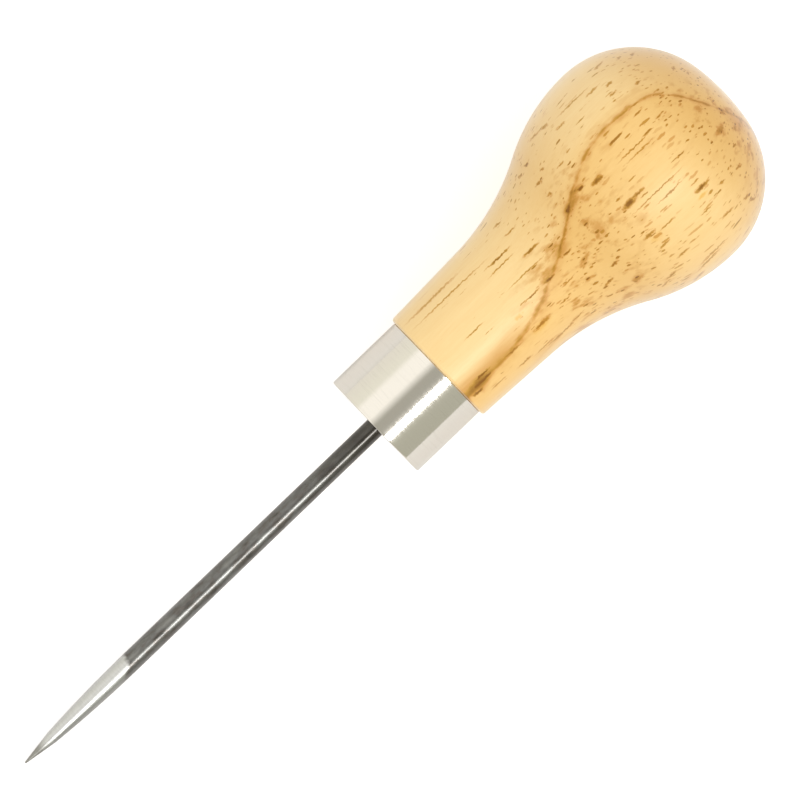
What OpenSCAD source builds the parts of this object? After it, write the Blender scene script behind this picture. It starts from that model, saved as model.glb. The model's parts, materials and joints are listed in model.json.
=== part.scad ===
// Bradawl: a round steel blade with a ground point, driven into a pear-shaped
// turned handle whose spigot is bound by a plated ferrule.
// It lies on a bench at rest: the tip and the belly of the handle touch z = 0.

/* [Blade] */
// Diameter of the round shank
blade_d = 3.3; // [3:0.1:4.4]
// Length of blade that stands out of the ferrule
blade_reach = 75.2; // [50:0.2:120]
// Length of the ground end, from the tip to the full shank
grind_l = 23; // [14:0.5:36]
// Length of the steeper honed point at the very end
point_l = 5.6; // [3:0.2:9]
// Diameter where the honed point meets the long grind
point_d = 1.94; // [1.2:0.02:2.3]
// Radius of the tip itself
tip_r = 0.15; // [0.05:0.01:0.3]
// Bevel on the shank's shoulder, which bears on the spigot
shank_bevel = 0.15; // [0.05:0.05:0.2]

/* [Tang] */
// Diameter of the tang, which is drawn down from the shank
tang_d = 2.4; // [1.8:0.1:2.5]
// Length of the tang, from the shank's shoulder to its end
tang_l = 35; // [28:1:44]
// Bevel round the tang's end
tang_bevel = 0.5; // [0.4:0.05:0.6]
// Width across the two pinched ears that stop the blade turning
ear_span = 4.8; // [4:0.1:7]
// Thickness of the ears
ear_t = 0.9; // [0.6:0.1:1.4]
// Length of the ears along the tang
ear_l = 9; // [6:0.5:11]
// Run of the slope at each end of the ears
ear_slope = 2; // [1:0.1:2.8]
// Distance from the tang's end to the ears
ear_setback = 4; // [2:0.5:7]

/* [Ferrule] */
// Outer diameter of the ferrule
ferrule_d = 19; // [17:0.1:19.4]
// Length of the ferrule
ferrule_l = 13.3; // [9:0.1:20]
// Wall of the ferrule
ferrule_wall = 0.8; // [0.6:0.1:1.5]
// Radius of the ferrule's dressed edges
ferrule_edge_r = 0.2; // [0.05:0.05:0.25]

/* [Handle] */
// Length of the handle from its shoulder to its butt
handle_l = 61.6; // [58:0.2:90]
// Diameter of the handle at its shoulder, behind the ferrule
shoulder_d = 20.4; // [20.1:0.1:22]
// Rounding of the shoulder's corner
shoulder_corner_r = 0.5; // [0.2:0.05:0.6]
// Slope of the neck's straight stretch, in degrees
neck_slope = 2.3; // [0.5:0.1:4]
// Radius of the hollow throat between neck and belly
throat_r = 37.5; // [28:0.5:48]
// Diameter of the belly
belly_d = 38.2; // [34:0.1:41]
// Radius of the swell in front of the belly
swell_r = 30; // [22:1:38]
// Distance from the widest place to the butt
belly_to_butt = 16.2; // [15:0.1:18]
// Radius of the flatter cap at the butt
butt_r = 36; // [26:1:60]

/* [Spigot and hole] */
// Depth of the spigot's face behind the ferrule's front edge
spigot_recess = 0.6; // [0.3:0.1:2]
// Bevel on the spigot's front edge
spigot_bevel = 0.5; // [0.2:0.1:1]
// How much narrower the drilled hole is than the tang
hole_undersize = 0.4; // [0.2:0.1:0.6]
// Depth of the drilled hole past the tang's end
hole_spare = 2; // [0.5:0.1:4]
// Point angle of the drill that made the hole, in degrees
drill_angle = 118; // [90:1:140]

/* [Hidden] */

$fn = 96;
// Longest straight step along an arc of an outline, and the fewest steps in one
arc_chord = 1;
arc_steps = 4;
// Overrun of a cut past the face that it breaks through
over = 1;

shank_r = blade_d / 2;
point_r = point_d / 2;
ferrule_r = ferrule_d / 2;
spigot_r = ferrule_r - ferrule_wall;
shoulder_r = shoulder_d / 2;
belly_r = belly_d / 2;
tang_r = tang_d / 2;
hole_r = tang_r - hole_undersize / 2;

// Stations along the tool's own axis, measured from the tip
shoulder_z = blade_reach + ferrule_l;
spigot_z = blade_reach + spigot_recess;
tang_z = spigot_z + tang_l;
ear_back_z = tang_z - ear_setback;
ear_front_z = ear_back_z - ear_l;
hole_z = tang_z + hole_spare;
butt_z = shoulder_z + handle_l;
belly_z = butt_z - belly_to_butt;

// Outlines are lists of [radius, station] points; their angles are seen from an
// arc's own centre, with 0 pointing away from the tool's axis and 90 to the butt.
function bearing(centre, p) = atan2(p[1] - centre[1], p[0] - centre[0]);
function arc_len(r, turn) = PI * r * abs(turn) / 180;
function arc(centre, r, from, to) =
    let (steps = max(arc_steps, ceil(arc_len(r, to - from) / arc_chord)))
    [for (i = [0 : steps])
        let (a = from + (to - from) * i / steps)
        centre + r * [cos(a), sin(a)]];

// The honed point is a cone that runs off the small round tip.
tip_centre = [0, tip_r];
point_base = [point_r, point_l];
tip_edge = bearing(tip_centre, point_base)
    - acos(tip_r / norm(point_base - tip_centre));

// The long grind is an arc that leaves the shank without a corner.
grind_fall = shank_r - point_r;
grind_run = grind_l - point_l;
grind_r = (grind_run * grind_run + grind_fall * grind_fall) / (2 * grind_fall);
grind_centre = [shank_r - grind_r, grind_l];

// Butt cap, rear of the belly, swell, throat and straight neck each meet the next
// without a corner: two arcs touch where their centres line up with the join.
butt_centre = [0, butt_z - butt_r];
rear_r = (2 * butt_r * belly_to_butt - belly_to_butt * belly_to_butt - belly_r * belly_r)
    / (2 * (butt_r - belly_r));
rear_centre = [belly_r - rear_r, belly_z];
butt_join = bearing(butt_centre, rear_centre);
swell_centre = [belly_r - swell_r, belly_z];

neck_foot = [shoulder_r, shoulder_z];
neck_along = [sin(neck_slope), cos(neck_slope)];
neck_out = [cos(neck_slope), -sin(neck_slope)];
throat_foot = neck_foot + throat_r * neck_out;
swell_to_foot = throat_foot - swell_centre;
swell_to_throat = swell_r + throat_r;
neck_run = -swell_to_foot * neck_along
    - sqrt(pow(swell_to_foot * neck_along, 2)
        - swell_to_foot * swell_to_foot + pow(swell_to_throat, 2));
throat_centre = throat_foot + neck_run * neck_along;

// The shoulder's rounded corner touches its flat face and the sloping neck.
corner_rise = shoulder_corner_r * (1 - sin(neck_slope)) / cos(neck_slope);
corner_centre = neck_foot + corner_rise * neck_along - shoulder_corner_r * neck_out;

// On the bench the tool tilts until its point and its swell touch one flat plane. At
// the point that is the tip's ball or the foot of the honed cone, whichever is lower.
function touch_tilt(centre, r) =
    let (reach = swell_centre - centre)
    asin((swell_r - r) / norm(reach)) - atan2(-reach[0], reach[1]);
function touch_lift(centre, r) = r + centre[0] * cos(rest_tilt) - centre[1] * sin(rest_tilt);
rest_tilt = min(touch_tilt(tip_centre, tip_r), touch_tilt(point_base, 0));
rest_lift = max(touch_lift(tip_centre, tip_r), touch_lift(point_base, 0));
front_x = tip_r * (cos(rest_tilt) - 1);
back_x = 90 - butt_join > rest_tilt
    ? butt_centre[1] * cos(rest_tilt) + butt_r
    : belly_z * cos(rest_tilt) + rear_centre[0] * sin(rest_tilt) + rear_r;

// Lays what was made along the tool's axis down on the bench
module on_bench() {
    translate([-(front_x + back_x) / 2, 0, rest_lift])
        rotate([0, 90 - rest_tilt, 0])
            children();
}

// Outline of the ears, or of the slot that they cut, from one station to the other
module ear_outline(front_z, front_run) {
    root = tang_r / 2;
    half = ear_span / 2;
    polygon([
        [-root, front_z], [root, front_z],
        [half, front_z + front_run], [half, ear_back_z - ear_slope],
        [root, ear_back_z], [-root, ear_back_z],
        [-half, ear_back_z - ear_slope], [-half, front_z + front_run]]);
}

// A flat plate of the ears' thickness, standing along the tool's axis
module ear_plate() {
    rotate([90, 0, 0])
        linear_extrude(height = ear_t, center = true)
            children();
}

// Round steel: honed point, long grind and shank, then the thinner tang with its ears
module blade() {
    outline = concat(
        arc(tip_centre, tip_r, -90, tip_edge),
        arc(grind_centre, grind_r, bearing(grind_centre, point_base), 0),
        [[shank_r, spigot_z - shank_bevel],
         [shank_r - shank_bevel, spigot_z],
         [tang_r, spigot_z],
         [tang_r, tang_z - tang_bevel],
         [tang_r - tang_bevel, tang_z],
         [0, tang_z]]);
    color("dimgray") on_bench() union() {
        rotate_extrude() polygon(outline);
        ear_plate() ear_outline(ear_front_z, ear_slope);
    }
}

// Plated tube with its edges dressed round, driven up to the handle's shoulder
module ferrule() {
    outer = ferrule_r - ferrule_edge_r;
    front = blade_reach + ferrule_edge_r;
    back = shoulder_z - ferrule_edge_r;
    outline = concat(
        arc([spigot_r + ferrule_edge_r, front], ferrule_edge_r, -180, -90),
        arc([outer, front], ferrule_edge_r, -90, 0),
        arc([outer, back], ferrule_edge_r, 0, 90),
        [[spigot_r, shoulder_z]]);
    color("gainsboro") on_bench()
        rotate_extrude() polygon(outline);
}

// The space that the driven tang leaves in the wood: its own shape, the drilled
// hole behind it, and the slot that the ears cut on their way in
module tang_hole() {
    rotate_extrude() polygon([
        [0, spigot_z - over],
        [tang_r, spigot_z - over],
        [tang_r, tang_z - tang_bevel],
        [hole_r, tang_z - tang_bevel + tang_r - hole_r],
        [hole_r, hole_z],
        [0, hole_z + hole_r / tan(drill_angle / 2)]]);
    ear_plate() ear_outline(spigot_z - over, 0);
}

// Turned hardwood: spigot, shoulder, neck, hollow throat and round belly
module handle() {
    throat_join = bearing(throat_centre, swell_centre);
    outline = concat(
        [[0, spigot_z],
         [spigot_r - spigot_bevel, spigot_z],
         [spigot_r, spigot_z + spigot_bevel],
         [spigot_r, shoulder_z]],
        arc(corner_centre, shoulder_corner_r, -90, -neck_slope),
        arc(throat_centre, throat_r, 180 - neck_slope, throat_join),
        arc(swell_centre, swell_r, throat_join - 180, 0),
        arc(rear_centre, rear_r, 0, butt_join),
        arc(butt_centre, butt_r, butt_join, 90));
    color("burlywood") on_bench() difference() {
        rotate_extrude() polygon(outline);
        tang_hole();
    }
}

blade();
ferrule();
handle();
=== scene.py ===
"""Looks of a bradawl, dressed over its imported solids.

A round steel blade keeps its grey rolling scale and ends in a bright ground point. A nickel-plated
ferrule binds the front of a pear-shaped handle, turned from rubberwood and finished in clear
lacquer. The tool lies on a pale floor, on its tip and on the belly of its handle.

Places on the tool are given in its own coordinates. A station is the distance from the tip along
the tool's axis, a side is the distance towards the lower right of the picture, and a height is the
distance towards the camera. Sizes are in millimetres and turn into metres when a mesh is made.
"""

import json
import logging
import math
from collections.abc import Iterable
from dataclasses import dataclass, field
from enum import Enum
from typing import ClassVar

import bpy
import numpy as np
from mathutils import Matrix, Vector


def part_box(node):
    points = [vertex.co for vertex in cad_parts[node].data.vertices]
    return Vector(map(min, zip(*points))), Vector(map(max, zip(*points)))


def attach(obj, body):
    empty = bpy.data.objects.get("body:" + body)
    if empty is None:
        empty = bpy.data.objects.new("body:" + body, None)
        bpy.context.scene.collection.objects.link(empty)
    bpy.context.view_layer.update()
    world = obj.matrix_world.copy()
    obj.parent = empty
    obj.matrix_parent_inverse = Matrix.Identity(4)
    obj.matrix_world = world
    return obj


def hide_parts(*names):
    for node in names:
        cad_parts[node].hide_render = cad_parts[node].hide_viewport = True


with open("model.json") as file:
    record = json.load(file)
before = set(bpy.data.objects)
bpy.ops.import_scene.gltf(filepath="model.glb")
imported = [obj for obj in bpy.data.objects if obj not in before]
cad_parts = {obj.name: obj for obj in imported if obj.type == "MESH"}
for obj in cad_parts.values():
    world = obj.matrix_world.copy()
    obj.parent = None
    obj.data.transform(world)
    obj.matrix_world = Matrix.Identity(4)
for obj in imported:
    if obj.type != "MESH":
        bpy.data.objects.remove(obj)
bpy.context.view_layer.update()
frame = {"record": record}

MM = 0.001
BODY = "root"
LOG = logging.getLogger("bradawl")

Socket = bpy.types.NodeSocket
Stops = tuple[tuple[float, str], ...]

# Fewest steps in an arc
ARC_STEPS = 6
# Keeps a divisor above zero
TINY = 1e-6
# Most values of a noise lie between these two
NOISE_ENDS = (0.3, 0.7)


class Slot(Enum):
    """Material slots of the record for the blade, the ferrule and the handle."""

    BLADE = "blade_steel"
    FERRULE = "nickel_plate"
    HANDLE = "lacquered_hardwood"


def linear_colour(code: str) -> tuple[float, float, float, float]:
    """Turns an sRGB colour into linear light.

    A share c of full light becomes c / 12.92 up to 0.04045, and ((c + 0.055) / 1.055) ^ 2.4 above.

    Args:
        code: the colour as #RRGGBB.

    Returns:
        Red, green, blue and a full alpha.
    """
    shares = np.array([int(code[i:i + 2], 16) for i in (1, 3, 5)]) / 255
    light = np.where(shares <= 0.04045, shares / 12.92, ((shares + 0.055) / 1.055) ** 2.4)
    return (*map(float, light), 1.0)


def add_node(tree: bpy.types.NodeTree, kind: str, inputs: dict | None = None, **settings) -> bpy.types.Node:
    """Adds one node with its settings, values and links.

    Args:
        tree: the node tree that gets the node.
        kind: the node's type name.
        inputs: a value or an output socket for each input, by its name or number.
        settings: the node's own properties.

    Returns:
        The new node.
    """
    node = tree.nodes.new(kind)
    for name, value in settings.items():
        setattr(node, name, value)
    for key, value in (inputs or {}).items():
        if isinstance(value, Socket):
            tree.links.new(value, node.inputs[key])
        else:
            node.inputs[key].default_value = value
    return node


def fill_ramp(node: bpy.types.Node, stops: Stops) -> None:
    """Gives a colour ramp its stops.

    Args:
        node: the colour ramp node.
        stops: a place from 0 to 1 and an sRGB colour for each stop, in order.
    """
    elements = node.color_ramp.elements
    while len(elements) < len(stops):
        elements.new(1.0)
    for element, (place, code) in zip(elements, stops):
        element.position = place
        element.color = linear_colour(code)


def stretched_noise(tree: bpy.types.NodeTree, place: Socket, size: tuple[float, float], detail: float,
                    roughness: float = 0.5) -> bpy.types.Node:
    """Adds noise drawn out along the tool: noise(station / length, side / width, height / width).

    Args:
        tree: the material's node tree.
        place: station, side and height in millimetres.
        size: length of its waves along the tool and their width across it, in millimetres.
        detail: how many finer layers it has.
        roughness: strength of each finer layer, as a share of the one before.

    Returns:
        The noise node.
    """
    length, width = size
    cell = add_node(tree, "ShaderNodeVectorMath", {0: place, 1: (1 / length, 1 / width, 1 / width)},
                    operation="MULTIPLY")
    return add_node(tree, "ShaderNodeTexNoise", {
        "Vector": cell.outputs[0], "Scale": 1.0, "Detail": detail, "Roughness": roughness})


def moved_about(tree: bpy.types.NodeTree, place: Socket, noise: bpy.types.Node,
                reach: tuple[float, float, float]) -> Socket:
    """Moves places about by a noise: p + reach (noise - 0.5).

    Args:
        tree: the material's node tree.
        place: station, side and height in millimetres.
        noise: the noise node.
        reach: the movement's whole width along, aside and up, in millimetres.

    Returns:
        The moved place.
    """
    shift = add_node(tree, "ShaderNodeVectorMath", {
        0: noise.outputs["Color"], 1: reach, 2: tuple(-width / 2 for width in reach)},
        operation="MULTIPLY_ADD")
    return add_node(tree, "ShaderNodeVectorMath", {0: place, 1: shift.outputs[0]}).outputs[0]


def joined(tree: bpy.types.NodeTree, operation: str, values: Iterable[Socket]) -> Socket:
    """Joins values by one operation: the first with the second, and each result with the next.

    Args:
        tree: the material's node tree.
        operation: the operation's name, such as ADD, MULTIPLY or MAXIMUM.
        values: the values, which may be made one after another.

    Returns:
        The result.
    """
    rest = iter(values)
    result = next(rest)
    for value in rest:
        result = add_node(tree, "ShaderNodeMath", {0: result, 1: value}, operation=operation).outputs[0]
    return result


@dataclass(frozen=True)
class ToolAxis:
    """The tool's own axis as it lies on the floor.

    Attributes:
        tip: where the axis starts, in millimetres.
        along: unit vector from the tip to the butt.
    """

    tip: np.ndarray
    along: np.ndarray

    @classmethod
    def from_record(cls, record: dict, mount: str, station: float) -> "ToolAxis":
        """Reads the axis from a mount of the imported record.

        Args:
            record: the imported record.
            mount: name of a mount whose own axis points from the butt to the tip.
            station: the station at which the mount is measured.

        Returns:
            The tool's axis.
        """
        entry = next(m for m in record["mounts"] if m["name"] == mount)
        along = -np.array(entry["axis"], float)
        along /= np.linalg.norm(along)
        return cls(np.array(entry["pos_m"], float) / MM - station * along, along)

    @property
    def tilt(self) -> float:
        """Angle of the axis above the floor, in radians."""
        return math.atan2(self.along[2], self.along[0])

    @property
    def aside(self) -> np.ndarray:
        """Unit vector across the tool, towards the lower right of the picture."""
        return np.array([0.0, -1.0, 0.0])

    @property
    def up(self) -> np.ndarray:
        """Unit vector square to the axis, from the tool to the camera."""
        return np.cross(self.aside, self.along)

    def point(self, station: float, side: float = 0.0, height: float = 0.0) -> Vector:
        """Place of a point given in the tool's coordinates, in metres."""
        return Vector((self.tip + station * self.along + side * self.aside + height * self.up) * MM)

    def place(self, grid: np.ndarray) -> np.ndarray:
        """Turns an array of (station, side, height) in millimetres into places in metres."""
        return (self.tip + grid @ np.array([self.along, self.aside, self.up])) * MM

    def coordinates(self, tree: bpy.types.NodeTree) -> Socket:
        """Adds nodes that turn Object coordinates into (station, side, height) in millimetres.

        Scaling by 1000 makes millimetres, a turn by the tilt about Y lays the axis along X, and a
        shift puts the tip at zero. The minus sign makes Y the side.

        Args:
            tree: the material's node tree.

        Returns:
            Station, side and height in millimetres.
        """
        tip_station = float(self.tip @ self.along)
        tip_height = float(self.tip @ self.up)
        place = add_node(tree, "ShaderNodeTexCoord").outputs["Object"]
        return add_node(tree, "ShaderNodeMapping", {
            "Vector": place,
            "Location": (-tip_station, 0.0, -tip_height),
            "Rotation": (0.0, self.tilt, 0.0),
            "Scale": (1 / MM, -1 / MM, 1 / MM)}, vector_type="POINT").outputs[0]


def arc(centre: tuple[float, float], radius: float, start: float, end: float, chord: float) -> np.ndarray:
    """Points of an arc in an outline: centre + radius (cos a, sin a), with a in even steps.

    Args:
        centre: radius and station of the arc's centre.
        radius: the arc's own radius.
        start: first angle in degrees, 0 away from the tool's axis and 90 towards the butt.
        end: last angle in degrees.
        chord: longest step along the arc.

    Returns:
        The points as rows of radius and station.
    """
    steps = max(ARC_STEPS, math.ceil(math.radians(abs(end - start)) * radius / chord))
    angles = np.radians(np.linspace(start, end, steps + 1))
    return np.array(centre) + radius * np.column_stack([np.cos(angles), np.sin(angles)])


def split_long(outline: np.ndarray, longest: float) -> np.ndarray:
    """Splits the long stretches of an outline: p = a + (b - a) t, with t in even steps.

    Args:
        outline: rows of radius and station.
        longest: longest stretch that may stay.

    Returns:
        The outline with the added points.
    """
    runs = np.diff(outline, axis=0)
    counts = np.maximum(1, np.ceil(np.linalg.norm(runs, axis=1) / longest)).astype(int)
    first = np.repeat(np.cumsum(counts) - counts, counts)
    shares = (np.arange(counts.sum()) - first) / np.repeat(counts, counts)
    split = np.repeat(outline[:-1], counts, axis=0) + np.repeat(runs, counts, axis=0) * shares[:, None]
    return np.vstack([split, outline[-1:]])


def bearing(centre: np.ndarray, point: np.ndarray) -> float:
    """Angle in degrees at which a point of an outline is seen from a centre."""
    return math.degrees(math.atan2(point[1] - centre[1], point[0] - centre[0]))


def turned_grid(outline: np.ndarray, around: int, plate: np.ndarray | None = None,
                plate_half: float = 0.0) -> np.ndarray:
    """Turns an outline round the tool's axis.

    A point at angle a is (station, r sin a, r cos a). Where a flat plate crosses the round form, r
    is the larger of the outline's radius and the plate's, min(span / |cos a|, half / |sin a|).

    Args:
        outline: rows of radius and station.
        around: number of steps round the axis.
        plate: half the plate's span at each row of the outline, 0 where there is none.
        plate_half: half the plate's thickness.

    Returns:
        An array of rows by steps by (station, side, height).
    """
    angles = np.linspace(0, 2 * np.pi, around, endpoint=False)
    radii = np.repeat(outline[:, :1], around, axis=1)
    if plate is not None:
        reach = np.minimum(plate[:, None] / np.maximum(np.abs(np.cos(angles)), TINY),
                           plate_half / np.maximum(np.abs(np.sin(angles)), TINY))
        radii = np.maximum(radii, reach)
    stations = np.repeat(outline[:, 1:], around, axis=1)
    return np.stack([stations, radii * np.sin(angles), radii * np.cos(angles)], axis=2)


def skin(name: str, grid: np.ndarray, axis: ToolAxis, ring: bool, sharp: float = 35.0) -> bpy.types.Object:
    """Makes a closed smooth object from a grid that was turned round the axis.

    Args:
        name: the object's name.
        grid: rows by steps by (station, side, height), with rows that run so that faces look out.
        axis: the tool's axis, which places the grid.
        ring: whether the last row joins the first. Otherwise the end rows close in a pole.
        sharp: edges that turn by more than this many degrees stay sharp.

    Returns:
        The object, linked to the scene.
    """
    rows, around = grid.shape[:2]
    row = np.arange(rows if ring else rows - 1)[:, None]
    step = np.arange(around)[None, :]
    here, there = row * around, (row + 1) % rows * around
    after = (step + 1) % around
    quads = np.stack([here + step, here + after, there + after, there + step], axis=2).reshape(-1, 4)
    places = grid.reshape(-1, 3)
    faces = quads.tolist()
    if not ring:
        poles = grid[[0, -1]].mean(axis=1)
        places = np.vstack([places, poles])
        first = np.stack([np.full(around, rows * around), after[0], step[0]], axis=1)
        last_row = (rows - 1) * around
        last = np.stack([np.full(around, rows * around + 1), last_row + step[0], last_row + after[0]], axis=1)
        faces += first.tolist() + last.tolist()
    mesh = bpy.data.meshes.new(name)
    mesh.from_pydata(axis.place(places).tolist(), [], faces)
    mesh.shade_smooth()
    mesh.set_sharp_from_angle(angle=math.radians(sharp))
    mesh.validate()
    made = bpy.data.objects.new(name, mesh)
    bpy.context.scene.collection.objects.link(made)
    return made


def new_material(name: str) -> tuple[bpy.types.Material, bpy.types.NodeTree, bpy.types.Node]:
    """Makes an empty material.

    Args:
        name: what the material is and how its surface was made.

    Returns:
        The material, its node tree and its output node.
    """
    material = bpy.data.materials.new(name)
    material.use_nodes = True
    material.node_tree.nodes.clear()
    output = add_node(material.node_tree, "ShaderNodeOutputMaterial")
    return material, material.node_tree, output


@dataclass(frozen=True)
class VesselCells:
    """Wood vessels as thin tubes along the grain, one at most in each cell of a jittered lattice.

    Attributes:
        length: cell length along the grain.
        width: cell width across it.
        least: smallest radius of a tube, as a share of its cell.
        most: largest radius of a tube.
        share: share of the cells that hold a tube.
        soft: width of a tube's soft edge, as a share of its cell.
        faint: tone of the palest tube.
        dark: tone of the darkest tube.
    """

    length: float
    width: float
    least: float
    most: float
    share: float
    soft: float
    faint: float
    dark: float

    def mask(self, tree: bpy.types.NodeTree, grain: Socket, more: Socket | float) -> Socket:
        """Adds the nodes of this layer.

        The tone is faint + (dark - faint) r r, inside the tube's radius, with r random. The radius
        grows from its least to its most over the share of cells that hold a tube.

        Args:
            tree: the material's node tree.
            grain: station, side and height in millimetres.
            more: factor on the radius, over 1 where vessels are crowded.

        Returns:
            The tone of the vessels, from 0 to 1.
        """
        cell = add_node(tree, "ShaderNodeVectorMath", {
            0: grain, 1: (1 / self.length, 1 / self.width, 1 / self.width)}, operation="MULTIPLY")
        cells = add_node(tree, "ShaderNodeTexVoronoi", {"Vector": cell.outputs[0], "Scale": 1.0})
        chance = add_node(tree, "ShaderNodeSeparateColor", {0: cells.outputs["Color"]})
        radius = add_node(tree, "ShaderNodeMapRange", {
            0: chance.outputs[0], 1: 1 - self.share, 2: 1.0, 3: self.least, 4: self.most})
        held = add_node(tree, "ShaderNodeMath", {0: chance.outputs[0], 1: 1 - self.share},
                        operation="GREATER_THAN")
        kept = add_node(tree, "ShaderNodeMath", {0: radius.outputs[0], 1: held.outputs[0]},
                        operation="MULTIPLY")
        wider = add_node(tree, "ShaderNodeMath", {0: kept.outputs[0], 1: more}, operation="MULTIPLY")
        inside = add_node(tree, "ShaderNodeMath", {
            0: wider.outputs[0], 1: cells.outputs["Distance"]}, operation="SUBTRACT")
        edge = add_node(tree, "ShaderNodeMapRange", {0: inside.outputs[0], 2: self.soft},
                        interpolation_type="SMOOTHSTEP")
        rare = add_node(tree, "ShaderNodeMath", {0: chance.outputs[1], 1: chance.outputs[1]},
                        operation="MULTIPLY")
        tone = add_node(tree, "ShaderNodeMapRange", {0: rare.outputs[0], 3: self.faint, 4: self.dark})
        return add_node(tree, "ShaderNodeMath", {
            0: edge.outputs[0], 1: tone.outputs[0]}, operation="MULTIPLY").outputs[0]


@dataclass(frozen=True)
class Mark:
    """One bold mark in the wood, on the side that faces the camera.

    Attributes:
        station: station of its middle.
        side: side of its middle.
        length: length along the grain.
        width: width across it.
        tone: how dark it is, from 0 to 1.
        soft_edge: where its tone starts to fade and ends, as shares of its half size.
    """

    station: float
    side: float
    length: float
    width: float
    tone: float
    soft_edge: ClassVar[tuple[float, float]] = (0.15, 1.1)

    def mask(self, tree: bpy.types.NodeTree, grain: Socket) -> Socket:
        """Adds the nodes of this mark, whose tone fades with |(p - middle) / half size|.

        Args:
            tree: the material's node tree.
            grain: station, side and height in millimetres.

        Returns:
            The tone, from 0 to the mark's own.
        """
        scale = (2 / self.length, 2 / self.width, 0.0)
        middle = (-self.station * scale[0], -self.side * scale[1], 0.0)
        share = add_node(tree, "ShaderNodeVectorMath", {0: grain, 1: scale, 2: middle},
                         operation="MULTIPLY_ADD")
        size = add_node(tree, "ShaderNodeVectorMath", {0: share.outputs[0]}, operation="LENGTH")
        return add_node(tree, "ShaderNodeMapRange", {
            0: size.outputs["Value"], 1: self.soft_edge[0], 2: self.soft_edge[1], 3: self.tone, 4: 0.0},
            interpolation_type="SMOOTHSTEP").outputs[0]


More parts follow.
